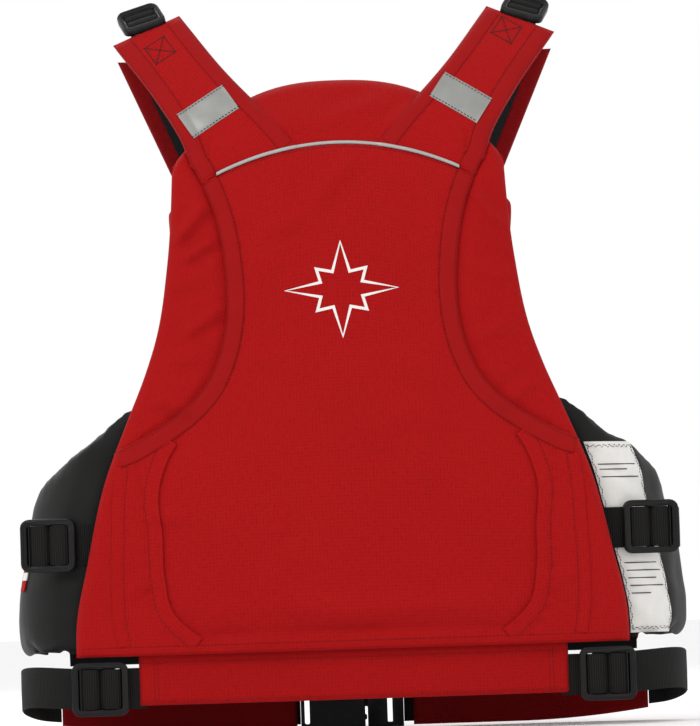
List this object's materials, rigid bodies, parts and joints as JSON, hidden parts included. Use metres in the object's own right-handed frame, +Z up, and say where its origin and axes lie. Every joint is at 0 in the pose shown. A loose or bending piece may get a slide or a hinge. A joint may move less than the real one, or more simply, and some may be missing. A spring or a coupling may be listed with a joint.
{
  "type": "life jacket",
  "caption": "Foam-filled paddling life jacket with shoulder straps, side straps, a front zip and a buckled waist belt.",
  "frame": {"origin": "centre of the bounding box at its lowest point, under the waist belt", "axes": "+Z up to the shoulders, +Y the way the wearer faces, +X to the wearer's right"},
  "size_m": [0.5396, 0.2036, 0.5793],
  "materials": {
    "red_fabric": "matte",
    "dark_red_fabric": "matte",
    "black_fabric": "matte",
    "mesh_lining": "matte",
    "foam": "matte",
    "black_webbing": "matte",
    "black_plastic": "satin",
    "reflective_tape": "satin",
    "white_label": "matte"
  },
  "bodies": {
    "back": {"back_cover": "red_fabric", "back_overlay": "red_fabric", "back_foam_lower": "foam", "back_foam_upper": "foam", "back_lining": "mesh_lining", "reflective_piping": "reflective_tape", "back_strap_left": "red_fabric", "back_strap_right": "red_fabric", "reflective_patch_left": "reflective_tape", "reflective_patch_right": "reflective_tape", "shoulder_webbing_left": "black_webbing", "shoulder_webbing_right": "black_webbing", "back_waistband": "red_fabric", "belt_anchor_webbing_left": "black_webbing", "belt_anchor_webbing_right": "black_webbing", "belt_webbing_left": "black_webbing", "belt_sleeve_left": "dark_red_fabric", "belt_buckle_webbing_left": "black_webbing", "belt_buckle_female": "black_plastic"},
    "front_left": {"front_cover_left": "red_fabric", "front_foam_left": "foam", "front_lining_left": "mesh_lining", "front_strap_left": "dark_red_fabric", "side_cover_left": "black_fabric", "side_foam_left": "foam", "side_anchor_webbing_left": "black_webbing", "side_strap_webbing_left": "black_webbing", "zip_chain_left": "black_plastic", "zip_tape_left": "black_fabric", "side_tab": "white_label"},
    "front_right": {"front_cover_right": "red_fabric", "front_foam_right": "foam", "front_lining_right": "mesh_lining", "front_strap_right": "dark_red_fabric", "side_cover_right": "black_fabric", "side_foam_right": "foam", "side_anchor_webbing_right": "black_webbing", "side_strap_webbing_right": "black_webbing", "zip_chain_right": "black_plastic", "zip_tape_right": "black_fabric", "sewn_label": "white_label"},
    "belt_right": {"belt_buckle_male": "black_plastic", "belt_buckle_webbing_right": "black_webbing", "belt_sleeve_right": "dark_red_fabric", "belt_webbing_right": "black_webbing"},
    "latch_arm_upper": {"belt_buckle_arm_upper": "black_plastic"},
    "latch_arm_lower": {"belt_buckle_arm_lower": "black_plastic"},
    "zip_slider": {"zip_slider": "black_plastic"},
    "zip_pull": {"zip_pull": "black_plastic"},
    "side_buckle_left": {"side_buckle_left": "black_plastic"},
    "belt_ladder_lock_left": {"belt_ladder_lock_left": "black_plastic"},
    "shoulder_adjuster_left": {"shoulder_adjuster_left": "black_plastic"},
    "side_buckle_right": {"side_buckle_right": "black_plastic"},
    "belt_ladder_lock_right": {"belt_ladder_lock_right": "black_plastic"},
    "shoulder_adjuster_right": {"shoulder_adjuster_right": "black_plastic"}
  },
  "joints": [
    {"name": "front_left_swing", "type": "hinge", "parent": "back", "child": "front_left", "pos_m": [-0.22, -0.05875, 0.06], "axis": [0.1396, 0.1199, 0.9829], "range_deg": [0, 30], "deforming": ["shoulder_webbing_left"]},
    {"name": "front_right_swing", "type": "hinge", "parent": "back", "child": "front_right", "pos_m": [0.22, -0.05875, 0.06], "axis": [0.1396, -0.1199, -0.9829], "range_deg": [0, 30], "deforming": ["shoulder_webbing_right"]},
    {"name": "side_buckle_left_tilt", "type": "hinge", "parent": "front_left", "child": "side_buckle_left", "pos_m": [-0.219, -0.06475, 0.153], "axis": [0, 0, 1], "range_deg": [0, 30]},
    {"name": "side_buckle_right_tilt", "type": "hinge", "parent": "front_right", "child": "side_buckle_right", "pos_m": [0.219, -0.06475, 0.153], "axis": [0, 0, -1], "range_deg": [0, 30]},
    {"name": "belt_ladder_lock_left_tilt", "type": "hinge", "parent": "back", "child": "belt_ladder_lock_left", "pos_m": [-0.179, -0.08155, 0.039], "axis": [0, 0, 1], "range_deg": [0, 30]},
    {"name": "belt_ladder_lock_right_tilt", "type": "hinge", "parent": "back", "child": "belt_ladder_lock_right", "pos_m": [0.179, -0.08155, 0.039], "axis": [0, 0, -1], "range_deg": [0, 30]},
    {"name": "shoulder_adjuster_left_tilt", "type": "hinge", "parent": "back", "child": "shoulder_adjuster_left", "pos_m": [-0.149, -0.01025, 0.566], "axis": [1, 0, 0], "range_deg": [0, 30]},
    {"name": "shoulder_adjuster_right_tilt", "type": "hinge", "parent": "back", "child": "shoulder_adjuster_right", "pos_m": [0.149, -0.01025, 0.566], "axis": [1, 0, 0], "range_deg": [0, 30]},
    {"name": "belt_release", "type": "slide", "parent": "back", "child": "belt_right", "axis": [1, 0, 0], "range_m": [0, 0.034]},
    {"name": "latch_arm_upper_squeeze", "type": "hinge", "parent": "belt_right", "child": "latch_arm_upper", "pos_m": [0.0084, 0.07475, 0.0315], "axis": [0, -1, 0], "range_deg": [0, 7], "stiffness_Nm_per_rad": 0.3},
    {"name": "latch_arm_lower_squeeze", "type": "hinge", "parent": "belt_right", "child": "latch_arm_lower", "pos_m": [0.0084, 0.07475, 0.0085], "axis": [0, 1, 0], "range_deg": [0, 7], "stiffness_Nm_per_rad": 0.3},
    {"name": "zip_slider_travel", "type": "slide", "parent": "front_left", "child": "zip_slider", "axis": [0, 0, 1], "range_m": [0, 0.2]},
    {"name": "zip_pull_swing", "type": "hinge", "parent": "zip_slider", "child": "zip_pull", "pos_m": [-0.0057, 0.10025, 0.0995], "axis": [1, 0, 0], "range_deg": [0, 110]}
  ],
  "couplings": [
    {"joint": "latch_arm_lower_squeeze", "follows": "latch_arm_upper_squeeze", "ratio": 1}
  ]
}
